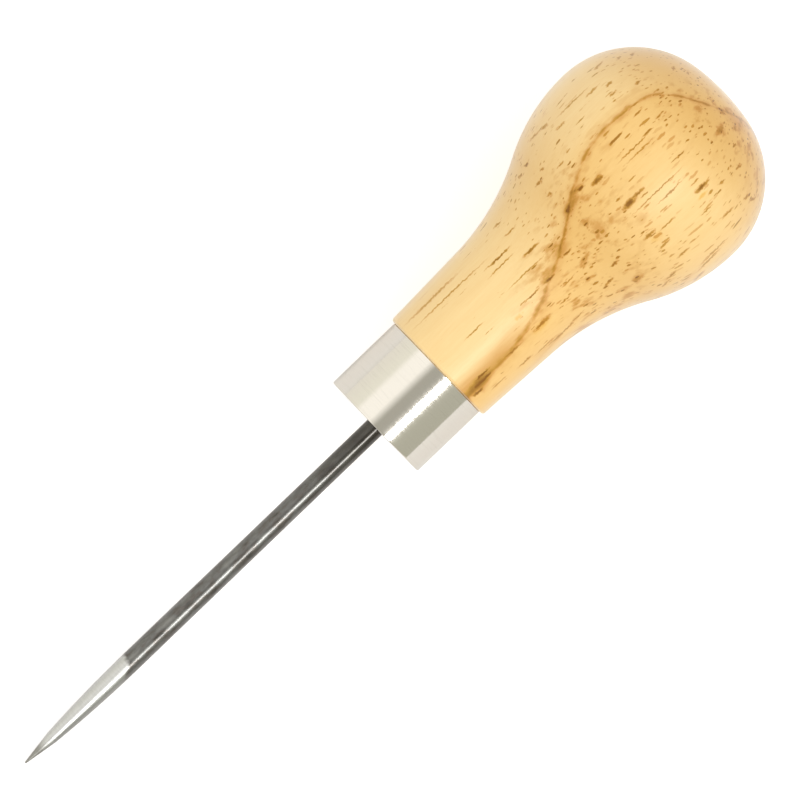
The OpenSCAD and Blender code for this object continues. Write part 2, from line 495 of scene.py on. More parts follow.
@dataclass(frozen=True)
class ClearLacqueredRubberwood:
    """Rubberwood, turned, sanded and clear-lacquered.

    The eye sees a pale straw colour that the lacquer warms to gold, a thin brown line where one
    growth ring meets the next, open vessels as brown dashes that shrink to dots where the surface
    cuts across the grain, and a satin gloss.
    """

    name: str = "rubberwood_turned_clear_lacquer"
    # The grain bends a little: length and width of its waves, and how far they reach
    grain_wave: tuple[float, float] = (14.0, 3.0)
    grain_reach: float = 0.6
    # A growth ring's boundary crosses so small a piece as a nearly flat sheet at this distance from
    # the axis. The way that it faces turns along the tool: 0 is the camera, 90 the lower right.
    ring_place: float = 8.7
    neck_turn: float = 71.0
    bulb_turn: float = 36.0
    butt_turn: float = 58.0
    turn_bulb: tuple[float, float] = (92.0, 130.0)
    turn_butt: tuple[float, float] = (140.0, 151.0)
    ring_spacing: float = 30.0
    # The boundary wanders in slow waves: their length, and how far they reach
    ring_wave: float = 6.0
    ring_wander: float = 0.7
    # It also steps to and fro from one bundle of fibres to the next: their size, and the step
    fibre_bundle: tuple[float, float] = (4.0, 0.5)
    ring_step: float = 0.55
    # Least sine of the angle at which the boundary is taken to meet the surface
    least_graze: float = 0.2
    # Half the width of the boundary's line on the surface, near the ferrule and behind these
    # stations, and of the shade beside it
    foot_line: float = 1.1
    ring_line: float = 0.45
    foot_ends: tuple[float, float] = (94.0, 106.0)
    ring_shade: float = 1.3
    # The line and the shade come and go: patches in a millimetre, the noise at which they are
    # faintest and strongest, and their tones there
    patches: float = 0.45
    patch_ends: tuple[float, float] = (0.35, 0.65)
    line_tones: tuple[float, float] = (0.1, 0.4)
    shade_tones: tuple[float, float] = (0.0, 0.2)
    # A broader streak near the ferrule grows between the first two of these distances from the
    # boundary and fades between the last two
    foot_streak: tuple[float, float, float, float] = (-2.6, -0.3, 0.0, 0.6)
    foot_tone: float = 0.31
    golden: str = "#EFC982"
    straw: str = "#F2D190"
    pale: str = "#F4D89E"
    # From just outside one boundary to just inside the next
    ring_tones: Stops = ((0.0, golden), (0.3, straw), (0.45, pale), (0.9, pale), (1.0, straw))
    # Faint warm streaks: their length, width and greatest share
    warm_streak: str = "#FAF3E9"
    streak_sizes: tuple[tuple[float, float, float], ...] = (
        (22.0, 1.4, 0.4), (7.0, 0.3, 0.4), (1.6, 0.4, 0.2))
    # End grain shows behind this station, where the normal leans this much along the axis
    end_grain: str = "#D6A85A"
    end_from: float = 95.0
    end_lean: tuple[float, float] = (0.05, 0.8)
    end_most: float = 0.75
    # Light that comes back through brown gum: a trace, faintly stained, then fully stained
    gum_tones: Stops = ((0.0, "#FFFFFF"), (0.25, "#E6D0B2"), (0.45, "#D0B976"), (1.0, "#957418"))
    ochre: str = "#E3B044"
    # Soft clouds: their length and width, the noise at which they begin and are full, their tone
    cloud_size: tuple[float, float] = (4.0, 1.5)
    cloud_ends: tuple[float, float] = (0.5, 0.72)
    cloud_tone: float = 0.38
    # They lie this far outside a boundary and fade between these distances from there
    cloud_place: float = 2.0
    cloud_fade: tuple[float, float] = (2.5, 8.0)
    # They set in between these stations, and thin out to this share round the belly's middle
    cloud_start: tuple[float, float] = (99.0, 110.0)
    belly_middle: float = 134.0
    belly_fade: tuple[float, float] = (6.0, 12.0)
    belly_share: float = 0.3
    roughness: float = 0.45
    under_gloss: float = 0.1
    lacquer: float = 0.17
    lacquer_roughness: float = 0.32
    # The lacquer looks milky where the wood turns away
    haze: float = 0.9
    haze_roughness: float = 0.4
    vessel_depth: float = 0.03
    dashes: VesselCells = VesselCells(5.5, 0.7, 0.2, 0.36, 0.55, 0.14, 0.12, 0.8)
    lines: VesselCells = VesselCells(13.0, 0.75, 0.1, 0.2, 0.8, 0.1, 0.17, 0.65)
    flecks: VesselCells = VesselCells(2.8, 0.75, 0.16, 0.3, 0.52, 0.14, 0.12, 0.65)
    # Vessels are finer in the neck, up to the first of these stations, and full from the second
    fine_ends: tuple[float, float] = (98.0, 112.0)
    fine: float = 0.55
    # Their size inside a boundary, before and behind these stations, and their size outside it
    inner_ends: tuple[float, float] = (106.0, 116.0)
    inner_size: tuple[float, float] = (0.8, 0.97)
    outer_size: float = 1.12
    outer_ends: tuple[float, float] = (-3.0, 1.5)
    # Ragged outlines of vessels and of marks: waves in a millimetre, and how far they reach
    vessel_waves: float = 1.3
    vessel_reach: tuple[float, float, float] = (1.4, 0.35, 0.35)
    mark_waves: float = 1.8
    mark_reach: tuple[float, float, float] = (1.6, 0.6, 0.0)
    marks: tuple[Mark, ...] = (
        Mark(126.7, 2.3, 3.0, 1.2, 1.0), Mark(128.6, 2.1, 3.4, 0.6, 0.8),
        Mark(125.6, -3.7, 2.6, 1.0, 0.9), Mark(123.1, -4.5, 1.4, 0.6, 1.0),
        Mark(136.5, 8.1, 3.6, 0.8, 1.0), Mark(130.9, 3.9, 12.1, 0.28, 0.7),
        Mark(132.3, 5.3, 6.0, 0.3, 0.7), Mark(133.0, -3.3, 7.9, 0.32, 0.6),
        Mark(133.4, -2.3, 7.0, 0.3, 0.5), Mark(131.6, -14.9, 7.8, 0.35, 0.5),
        Mark(134.7, -14.0, 3.3, 0.4, 0.5), Mark(127.5, -13.5, 2.5, 0.4, 0.5),
        Mark(137.2, -6.8, 2.3, 0.4, 0.7), Mark(139.1, -4.2, 1.6, 0.5, 0.6),
        Mark(137.4, 2.3, 2.0, 0.4, 0.8), Mark(125.6, 7.9, 2.6, 0.6, 0.7),
        Mark(128.7, 8.5, 3.9, 0.35, 0.6), Mark(126.4, 10.6, 2.5, 0.4, 0.6),
        Mark(127.8, 13.4, 3.0, 0.45, 0.6), Mark(134.6, 11.2, 3.0, 0.35, 0.6),
        Mark(106.8, -5.7, 6.2, 0.36, 0.95), Mark(106.3, -4.5, 6.0, 0.34, 0.7),
        Mark(111.2, -3.1, 4.2, 0.55, 0.8), Mark(108.3, -1.0, 9.0, 0.3, 0.55),
        Mark(106.5, 2.1, 3.4, 0.36, 0.95), Mark(110.1, 2.1, 2.6, 0.55, 0.85),
        Mark(96.4, -0.1, 4.6, 0.3, 0.7), Mark(95.3, -8.2, 13.0, 0.42, 0.45),
        Mark(97.9, -6.8, 17.0, 0.36, 0.55), Mark(104.9, 6.2, 4.4, 0.7, 0.6),
        Mark(92.8, 5.6, 3.2, 0.45, 0.95), Mark(91.7, 6.3, 3.0, 0.4, 0.85),
        Mark(90.4, 7.1, 2.6, 0.45, 0.8), Mark(93.2, 6.3, 2.0, 0.4, 0.7),
        Mark(116.6, 8.8, 2.2, 0.5, 0.75), Mark(118.9, 7.3, 1.8, 0.55, 0.8),
        Mark(112.0, 4.3, 3.4, 0.3, 0.5), Mark(109.8, 6.1, 2.6, 0.32, 0.6),
        Mark(106.8, 9.5, 4.9, 0.35, 0.6), Mark(109.4, 9.3, 3.5, 0.3, 0.5),
        Mark(99.0, 8.7, 3.6, 0.35, 0.55), Mark(98.7, 6.2, 4.5, 0.45, 0.5),
        Mark(114.8, 1.1, 2.2, 0.5, 0.8), Mark(110.9, -7.4, 2.6, 0.35, 0.55),
        Mark(110.4, -9.4, 1.9, 0.4, 0.6), Mark(102.6, 9.1, 5.0, 0.3, 0.45),
        Mark(93.6, 8.3, 4.0, 0.3, 0.45), Mark(119.9, -12.9, 0.9, 0.6, 0.85),
        Mark(120.9, -10.8, 0.9, 0.5, 0.7), Mark(118.0, -12.4, 1.0, 0.5, 0.65),
        Mark(119.1, -9.6, 1.2, 0.7, 0.65), Mark(123.4, -9.3, 1.6, 0.5, 0.65),
        Mark(123.9, -15.3, 2.4, 0.5, 0.55), Mark(125.9, -15.2, 1.8, 0.5, 0.55),
        Mark(119.2, -7.2, 1.1, 0.6, 0.65), Mark(136.7, 13.6, 3.4, 0.4, 0.6),
        Mark(131.5, 16.6, 7.0, 0.35, 0.5), Mark(130.1, 17.0, 6.0, 0.35, 0.5),
        Mark(127.2, 17.8, 3.2, 0.35, 0.5), Mark(124.2, 14.6, 2.2, 0.45, 0.6),
        Mark(122.7, 15.0, 1.8, 0.45, 0.55), Mark(141.2, 14.9, 1.6, 0.5, 0.65),
        Mark(140.6, 13.9, 1.4, 0.45, 0.55), Mark(139.2, 9.7, 1.8, 0.45, 0.55),
        Mark(143.0, 9.7, 1.6, 0.5, 0.6), Mark(144.7, 7.0, 1.0, 0.6, 0.6),
        Mark(137.3, -12.9, 1.8, 0.45, 0.55), Mark(136.7, -11.6, 1.8, 0.45, 0.6),
        Mark(140.5, -10.2, 1.2, 0.55, 0.6), Mark(138.4, -16.2, 2.4, 0.45, 0.55),
        Mark(141.4, -14.9, 0.8, 0.7, 0.6), Mark(143.4, -13.9, 0.8, 0.6, 0.6),
        Mark(146.3, -8.0, 0.8, 0.9, 0.5), Mark(147.4, -6.0, 0.7, 0.8, 0.5))
    # Soft stains where gum has filled a vessel or a knot lies under the surface
    ochre_stains: tuple[Mark, ...] = (
        Mark(135.7, 9.1, 2.2, 0.8, 0.7), Mark(102.9, 3.1, 2.0, 0.9, 0.7),
        Mark(104.5, 6.4, 4.5, 1.5, 0.65), Mark(126.2, 8.8, 3.0, 1.4, 0.4))
    brown_stains: tuple[Mark, ...] = (
        Mark(120.9, 1.7, 2.6, 4.2, 0.22), Mark(91.4, 6.4, 4.6, 2.6, 0.35),
        Mark(114.4, 0.2, 5.0, 2.4, 0.2), Mark(110.6, 1.2, 4.0, 1.6, 0.18),
        Mark(120.0, -3.6, 4.0, 2.6, 0.15), Mark(126.5, 5.2, 3.0, 1.8, 0.12),
        Mark(147.6, 4.5, 3.0, 6.0, 0.15), Mark(120.0, 11.4, 2.4, 1.8, 0.3),
        Mark(144.3, 3.8, 1.6, 1.2, 0.3))

    def material(self, axis: ToolAxis) -> bpy.types.Material:
        """Makes the material.

        Args:
            axis: the tool's axis, along which the grain runs.

        Returns:
            The material.
        """
        material, tree, output = new_material(self.name)
        grain = self.wavy_grain(tree, axis.coordinates(tree))
        place, signed, graze = self.rings(tree, grain, axis)
        vessels = self.vessels(tree, grain, signed)
        toned = self.tone(tree, grain, place)
        cut = self.end_share(tree, grain, axis)
        stained = self.stains(tree, grain, signed, graze, vessels)
        plain = add_node(tree, "ShaderNodeMix", {0: cut, 6: toned, 7: linear_colour(self.end_grain)},
                         data_type="RGBA")
        spotted = add_node(tree, "ShaderNodeMix", {
            0: self.facing_marks(tree, grain, self.ochre_stains), 6: plain.outputs[2],
            7: linear_colour(self.ochre)}, data_type="RGBA")
        colour = add_node(tree, "ShaderNodeVectorMath", {0: spotted.outputs[2], 1: stained},
                          operation="MULTIPLY").outputs[0]
        relief = add_node(tree, "ShaderNodeBump", {
            "Strength": 1.0, "Distance": self.vessel_depth * MM, "Height": vessels}, invert=True)
        shader = add_node(tree, "ShaderNodeBsdfPrincipled", {
            "Base Color": colour, "Roughness": self.roughness, "Normal": relief.outputs[0],
            "Specular IOR Level": self.under_gloss, "Coat Weight": self.lacquer,
            "Coat Roughness": self.lacquer_roughness, "Sheen Weight": self.haze,
            "Sheen Roughness": self.haze_roughness})
        tree.links.new(shader.outputs[0], output.inputs["Surface"])
        return material

    def wavy_grain(self, tree: bpy.types.NodeTree, place: Socket) -> Socket:
        """Lets the straight grain wander from side to side and up and down.

        Args:
            tree: the material's node tree.
            place: station, side and height in millimetres.

        Returns:
            Station, side and height along the bent grain.
        """
        noise = stretched_noise(tree, place, self.grain_wave, 2.0)
        return moved_about(tree, place, noise, (0.0, self.grain_reach, self.grain_reach))

    def rings(self, tree: bpy.types.NodeTree, grain: Socket,
              axis: ToolAxis) -> tuple[Socket, Socket, Socket]:
        """Adds the growth rings.

        The distance across them is d = side sin t + height cos t, less the boundary's own distance
        from the axis, where the turn t eases from the neck's to the bulb's and on to the butt's.
        The boundary meets the surface at an angle whose sine is sqrt(1 - f f), where f is the part
        of the surface's normal that points across the rings.

        Args:
            tree: the material's node tree.
            grain: station, side and height in millimetres.
            axis: the tool's axis.

        Returns:
            The place in a ring, from 0 just outside a boundary to 1 just inside the next, the
            distance in millimetres to the nearest boundary, below 0 inside it, and the sine.
        """
        parts = add_node(tree, "ShaderNodeSeparateXYZ", {0: grain})
        turns = [
            add_node(tree, "ShaderNodeMapRange", {
                0: parts.outputs[0], 1: ends[0], 2: ends[1], 4: math.radians(turn)},
                interpolation_type="SMOOTHSTEP").outputs[0]
            for ends, turn in ((self.turn_bulb, self.bulb_turn - self.neck_turn),
                               (self.turn_butt, self.butt_turn - self.bulb_turn))]
        turned = add_node(tree, "ShaderNodeMath", {0: turns[0], 1: turns[1]})
        turn = add_node(tree, "ShaderNodeMath", {0: turned.outputs[0], 1: math.radians(self.neck_turn)})
        sine = add_node(tree, "ShaderNodeMath", {0: turn.outputs[0]}, operation="SINE")
        cosine = add_node(tree, "ShaderNodeMath", {0: turn.outputs[0]}, operation="COSINE")
        aside = add_node(tree, "ShaderNodeMath", {0: parts.outputs[1], 1: sine.outputs[0]},
                         operation="MULTIPLY")
        across = add_node(tree, "ShaderNodeMath", {
            0: parts.outputs[2], 1: cosine.outputs[0], 2: aside.outputs[0]}, operation="MULTIPLY_ADD")
        wave = add_node(tree, "ShaderNodeTexNoise", {
            "Vector": grain, "Scale": 1 / self.ring_wave, "Detail": 3.0})
        wander = add_node(tree, "ShaderNodeMath", {
            0: wave.outputs[0], 1: self.ring_wander, 2: -self.ring_wander / 2 - self.ring_place},
            operation="MULTIPLY_ADD")
        bundle = stretched_noise(tree, grain, self.fibre_bundle, 3.0)
        stepped = add_node(tree, "ShaderNodeMath", {
            0: bundle.outputs[0], 1: self.ring_step, 2: wander.outputs[0]}, operation="MULTIPLY_ADD")
        wander = add_node(tree, "ShaderNodeMath", {0: stepped.outputs[0], 1: self.ring_step / 2},
                          operation="SUBTRACT")
        distance = add_node(tree, "ShaderNodeMath", {0: across.outputs[0], 1: wander.outputs[0]})
        rings = add_node(tree, "ShaderNodeMath", {
            0: distance.outputs[0], 1: 1 / self.ring_spacing}, operation="MULTIPLY")
        place = add_node(tree, "ShaderNodeMath", {0: rings.outputs[0]}, operation="FRACT")
        later = add_node(tree, "ShaderNodeMath", {0: rings.outputs[0], 1: 0.5})
        half_on = add_node(tree, "ShaderNodeMath", {0: later.outputs[0]}, operation="FRACT")
        signed = add_node(tree, "ShaderNodeMath", {
            0: half_on.outputs[0], 1: self.ring_spacing, 2: -self.ring_spacing / 2}, operation="MULTIPLY_ADD")
        normal = add_node(tree, "ShaderNodeNewGeometry").outputs["Normal"]
        n_side, n_up = (
            add_node(tree, "ShaderNodeVectorMath", {0: normal, 1: tuple(way)},
                     operation="DOT_PRODUCT").outputs["Value"] for way in (axis.aside, axis.up))
        part = add_node(tree, "ShaderNodeMath", {0: n_side, 1: sine.outputs[0]}, operation="MULTIPLY")
        facing = add_node(tree, "ShaderNodeMath", {0: n_up, 1: cosine.outputs[0], 2: part.outputs[0]},
                          operation="MULTIPLY_ADD")
        flat = add_node(tree, "ShaderNodeMath", {0: facing.outputs[0], 1: facing.outputs[0]},
                        operation="MULTIPLY")
        steep = add_node(tree, "ShaderNodeMath", {0: 1.0, 1: flat.outputs[0]}, operation="SUBTRACT")
        kept = add_node(tree, "ShaderNodeMath", {0: steep.outputs[0], 1: self.least_graze ** 2},
                        operation="MAXIMUM")
        graze = add_node(tree, "ShaderNodeMath", {0: kept.outputs[0]}, operation="SQRT")
        return place.outputs[0], signed.outputs[0], graze.outputs[0]

    def vessels(self, tree: bpy.types.NodeTree, grain: Socket, signed: Socket) -> Socket:
        """Adds all vessels and marks. The vessels are larger outside a boundary than inside it.

        Args:
            tree: the material's node tree.
            grain: station, side and height in millimetres.
            signed: distance to the nearest boundary, below 0 inside it.

        Returns:
            The tone of the darkest one at each point.
        """
        station = add_node(tree, "ShaderNodeSeparateXYZ", {0: grain}).outputs[0]
        inside = add_node(tree, "ShaderNodeMapRange", {
            0: station, 1: self.inner_ends[0], 2: self.inner_ends[1], 3: self.inner_size[0],
            4: self.inner_size[1]})
        outside = add_node(tree, "ShaderNodeMapRange", {
            0: signed, 1: self.outer_ends[0], 2: self.outer_ends[1], 3: inside.outputs[0],
            4: self.outer_size}).outputs[0]
        full = add_node(tree, "ShaderNodeMapRange", {
            0: station, 1: self.fine_ends[0], 2: self.fine_ends[1], 3: self.fine})
        crowd = add_node(tree, "ShaderNodeMath", {0: outside, 1: full.outputs[0]},
                         operation="MULTIPLY").outputs[0]
        ragged = add_node(tree, "ShaderNodeTexNoise", {
            "Vector": grain, "Scale": self.vessel_waves, "Detail": 3.0})
        rough = moved_about(tree, grain, ragged, self.vessel_reach)
        layers = ((self.dashes, crowd), (self.lines, outside), (self.flecks, crowd))
        darkest = joined(tree, "MAXIMUM", (cells.mask(tree, rough, more) for cells, more in layers))
        return joined(tree, "MAXIMUM", (darkest, self.facing_marks(tree, grain, self.marks)))

    def facing_marks(self, tree: bpy.types.NodeTree, grain: Socket, marks: tuple[Mark, ...]) -> Socket:
        """Adds single marks with ragged outlines, on the side of the wood that faces the camera.

        Args:
            tree: the material's node tree.
            grain: station, side and height in millimetres.
            marks: the marks.

        Returns:
            The tone of the darkest one at each point.
        """
        height = add_node(tree, "ShaderNodeSeparateXYZ", {0: grain}).outputs[2]
        facing = add_node(tree, "ShaderNodeMath", {0: height, 1: 0.0}, operation="GREATER_THAN")
        ragged = add_node(tree, "ShaderNodeTexNoise", {
            "Vector": grain, "Scale": self.mark_waves, "Detail": 4.0})
        rough = moved_about(tree, grain, ragged, self.mark_reach)
        bold = joined(tree, "MAXIMUM", (mark.mask(tree, rough) for mark in marks))
        return joined(tree, "MULTIPLY", (bold, facing.outputs[0]))

    def tone(self, tree: bpy.types.NodeTree, grain: Socket, place: Socket) -> Socket:
        """Adds the wood's plain colour, from golden just outside a boundary to pale inside the next.

        Args:
            tree: the material's node tree.
            grain: station, side and height in millimetres.
            place: place in a growth ring, from 0 to 1.

        Returns:
            The colour.
        """
        ring = add_node(tree, "ShaderNodeValToRGB", {0: place})
        fill_ramp(ring, self.ring_tones)
        streaked = add_node(tree, "ShaderNodeMix", {
            0: self.streaks(tree, grain), 6: ring.outputs[0], 7: linear_colour(self.warm_streak)},
            data_type="RGBA", blend_type="MULTIPLY")
        return streaked.outputs[2]

    def stains(self, tree: bpy.types.NodeTree, grain: Socket, signed: Socket, graze: Socket,
               vessels: Socket) -> Socket:
        """Adds all that darkens the wood: vessels, a ring's boundary, soft clouds and stains.

        Args:
            tree: the material's node tree.
            grain: station, side and height in millimetres.
            signed: distance to the nearest boundary, below 0 inside it.
            graze: sine of the angle at which the boundary meets the surface.
            vessels: tone of the vessels.

        Returns:
            The factor on the plain colour.
        """
        soft = (self.boundary(tree, grain, signed, graze), self.clouds(tree, grain, signed),
                self.facing_marks(tree, grain, self.brown_stains))
        gum = add_node(tree, "ShaderNodeValToRGB", {0: joined(tree, "ADD", (vessels, *soft))})
        fill_ramp(gum, self.gum_tones)
        return gum.outputs[0]

    def clouds(self, tree: bpy.types.NodeTree, grain: Socket, signed: Socket) -> Socket:
        """Adds soft brown clouds beside a ring's boundary, in the throat and at the butt.

        Args:
            tree: the material's node tree.
            grain: station, side and height in millimetres.
            signed: distance to the nearest boundary, below 0 inside it.

        Returns:
            The tone, from 0 to the clouds' own.
        """
        noise = stretched_noise(tree, grain, self.cloud_size, 4.0)
        tone = add_node(tree, "ShaderNodeMapRange", {
            0: noise.outputs[0], 1: self.cloud_ends[0], 2: self.cloud_ends[1], 4: self.cloud_tone},
            interpolation_type="SMOOTHSTEP")
        shifted = add_node(tree, "ShaderNodeMath", {0: signed, 1: self.cloud_place}, operation="SUBTRACT")
        gap = add_node(tree, "ShaderNodeMath", {0: shifted.outputs[0]}, operation="ABSOLUTE")
        near = add_node(tree, "ShaderNodeMapRange", {
            0: gap.outputs[0], 1: self.cloud_fade[0], 2: self.cloud_fade[1], 3: 1.0, 4: 0.0})
        station = add_node(tree, "ShaderNodeSeparateXYZ", {0: grain}).outputs[0]
        behind = add_node(tree, "ShaderNodeMapRange", {
            0: station, 1: self.cloud_start[0], 2: self.cloud_start[1]})
        middle = add_node(tree, "ShaderNodeMath", {0: station, 1: self.belly_middle}, operation="SUBTRACT")
        off_middle = add_node(tree, "ShaderNodeMath", {0: middle.outputs[0]}, operation="ABSOLUTE")
        ends = add_node(tree, "ShaderNodeMapRange", {
            0: off_middle.outputs[0], 1: self.belly_fade[0], 2: self.belly_fade[1], 3: self.belly_share})
        return joined(tree, "MULTIPLY", (part.outputs[0] for part in (tone, near, behind, ends)))

    def streaks(self, tree: bpy.types.NodeTree, grain: Socket) -> Socket:
        """Adds faint warm streaks of three sizes, whose shares add up.

        Args:
            tree: the material's node tree.
            grain: station, side and height in millimetres.

        Returns:
            Their share in the colour, from 0 to 1.
        """
        low, high = NOISE_ENDS
        return joined(tree, "ADD", (
            add_node(tree, "ShaderNodeMapRange", {
                0: stretched_noise(tree, grain, (length, width), 3.0).outputs[0], 1: low, 2: high,
                4: most}).outputs[0]
            for length, width, most in self.streak_sizes))

    def end_share(self, tree: bpy.types.NodeTree, grain: Socket, axis: ToolAxis) -> Socket:
        """Adds the darker end grain, where |normal . axis| is large, but not on the small shoulder.

        Args:
            tree: the material's node tree.
            grain: station, side and height in millimetres.
            axis: the tool's axis.

        Returns:
            The end grain's share in the colour.
        """
        normal = add_node(tree, "ShaderNodeNewGeometry").outputs["Normal"]
        way = add_node(tree, "ShaderNodeVectorMath", {0: normal, 1: tuple(axis.along)},
                       operation="DOT_PRODUCT")
        lean = add_node(tree, "ShaderNodeMath", {0: way.outputs["Value"]}, operation="ABSOLUTE")
        cut = add_node(tree, "ShaderNodeMapRange", {
            0: lean.outputs[0], 1: self.end_lean[0], 2: self.end_lean[1], 4: self.end_most},
            interpolation_type="SMOOTHSTEP")
        station = add_node(tree, "ShaderNodeSeparateXYZ", {0: grain}).outputs[0]
        behind = add_node(tree, "ShaderNodeMath", {0: station, 1: self.end_from},
                          operation="GREATER_THAN")
        return joined(tree, "MULTIPLY", (cut.outputs[0], behind.outputs[0]))

    def boundary(self, tree: bpy.types.NodeTree, grain: Socket, signed: Socket, graze: Socket) -> Socket:
        """Adds the brown of a growth ring's boundary.

        It is a thin line that comes and goes, as thin where the boundary grazes the surface, a soft
        shade on both sides, and near the ferrule a broader streak on the inside.

        Args:
            tree: the material's node tree.
            grain: station, side and height in millimetres.
            signed: distance to the nearest boundary, below 0 inside it.
            graze: sine of the angle at which the boundary meets the surface.

        Returns:
            The tone, from 0 to 1.
        """
        gap = add_node(tree, "ShaderNodeMath", {0: signed}, operation="ABSOLUTE")
        on_surface = add_node(tree, "ShaderNodeMath", {0: gap.outputs[0], 1: graze}, operation="DIVIDE")
        station = add_node(tree, "ShaderNodeSeparateXYZ", {0: grain}).outputs[0]
        foot_from, foot_to = self.foot_ends
        widen = add_node(tree, "ShaderNodeMapRange", {
            0: station, 1: foot_from, 2: foot_to, 3: self.foot_line, 4: self.ring_line})
        patchy = add_node(tree, "ShaderNodeTexNoise", {
            "Vector": grain, "Scale": self.patches, "Detail": 4.0})
        strengths = [
            add_node(tree, "ShaderNodeMapRange", {
                0: patchy.outputs[0], 1: self.patch_ends[0], 2: self.patch_ends[1], 3: low, 4: high})
            for low, high in (self.line_tones, self.shade_tones)]
        line, shade = (
            add_node(tree, "ShaderNodeMapRange", {
                0: away.outputs[0], 2: width, 3: strength.outputs[0], 4: 0.0},
                interpolation_type="SMOOTHSTEP").outputs[0]
            for away, width, strength in zip((on_surface, gap), (widen.outputs[0], self.ring_shade),
                                             strengths))
        starts, full, fades, ends = self.foot_streak
        streak = joined(tree, "MULTIPLY", (
            add_node(tree, "ShaderNodeMapRange", {0: value, 1: first, 2: last, 3: low, 4: high},
                     interpolation_type="SMOOTHSTEP").outputs[0]
            for value, first, last, low, high in (
                (station, foot_from, foot_to, self.foot_tone, 0.0), (signed, starts, full, 0.0, 1.0),
                (signed, fades, ends, 1.0, 0.0))))
        shaded = joined(tree, "MAXIMUM", (shade, streak))
        return joined(tree, "ADD", (shaded, line))


@dataclass(frozen=True)
class PolishedNickelPlate:
    """Nickel plate over a drawn tube, polished on the lathe.

    The eye sees a warm near-mirror whose reflections have slightly ragged edges, from polishing
    lines that run round the tube and from a few light scratches.
    """

    name: str = "nickel_plate_polished"
    colour: str = "#E6E2DA"
    scratched: str = "#D8D4CA"
    # Polishing lines: their width along the tool, their length round it, and their depth
    line_width: float = 0.12
    line_length: float = 5.0
    line_depth: float = 0.0012
    # Slow waves that the buff left: their length and depth
    wave: float = 1.6
    wave_depth: float = 0.004
    # Roughness where the lines' noise is at the first of the two values below, and at the second
    gloss: tuple[float, float] = (0.07, 0.16)
    gloss_ends: tuple[float, float] = (0.35, 0.75)
    # The lines' noise where scratches start to show and where they are full
    scratch_ends: tuple[float, float] = (0.55, 0.8)

    def material(self, axis: ToolAxis) -> bpy.types.Material:
        """Makes the material.

        Args:
            axis: the tool's axis, round which the polishing lines run.

        Returns:
            The material.
        """
        material, tree, output = new_material(self.name)
        place = axis.coordinates(tree)
        lines = stretched_noise(tree, place, (self.line_width, self.line_length), 4.0, 0.6)
        waves = add_node(tree, "ShaderNodeTexNoise", {
            "Vector": place, "Scale": 1 / self.wave, "Detail": 3.0, "Roughness": 0.55})
        wavy = add_node(tree, "ShaderNodeBump", {
            "Strength": 1.0, "Distance": self.wave_depth * MM, "Height": waves.outputs[0]})
        lined = add_node(tree, "ShaderNodeBump", {
            "Strength": 1.0, "Distance": self.line_depth * MM, "Height": lines.outputs[0],
            "Normal": wavy.outputs[0]})
        rough = add_node(tree, "ShaderNodeMapRange", {
            0: lines.outputs[0], 1: self.gloss_ends[0], 2: self.gloss_ends[1], 3: self.gloss[0],
            4: self.gloss[1]})
        tint = add_node(tree, "ShaderNodeMapRange", {
            0: lines.outputs[0], 1: self.scratch_ends[0], 2: self.scratch_ends[1]})
        colour = add_node(tree, "ShaderNodeMix", {
            0: tint.outputs[0], 6: linear_colour(self.colour), 7: linear_colour(self.scratched)},
            data_type="RGBA")
        shader = add_node(tree, "ShaderNodeBsdfPrincipled", {
            "Base Color": colour.outputs[2], "Metallic": 1.0, "Roughness": rough.outputs[0],
            "Normal": lined.outputs[0]})
        tree.links.new(shader.outputs[0], output.inputs["Surface"])
        return material


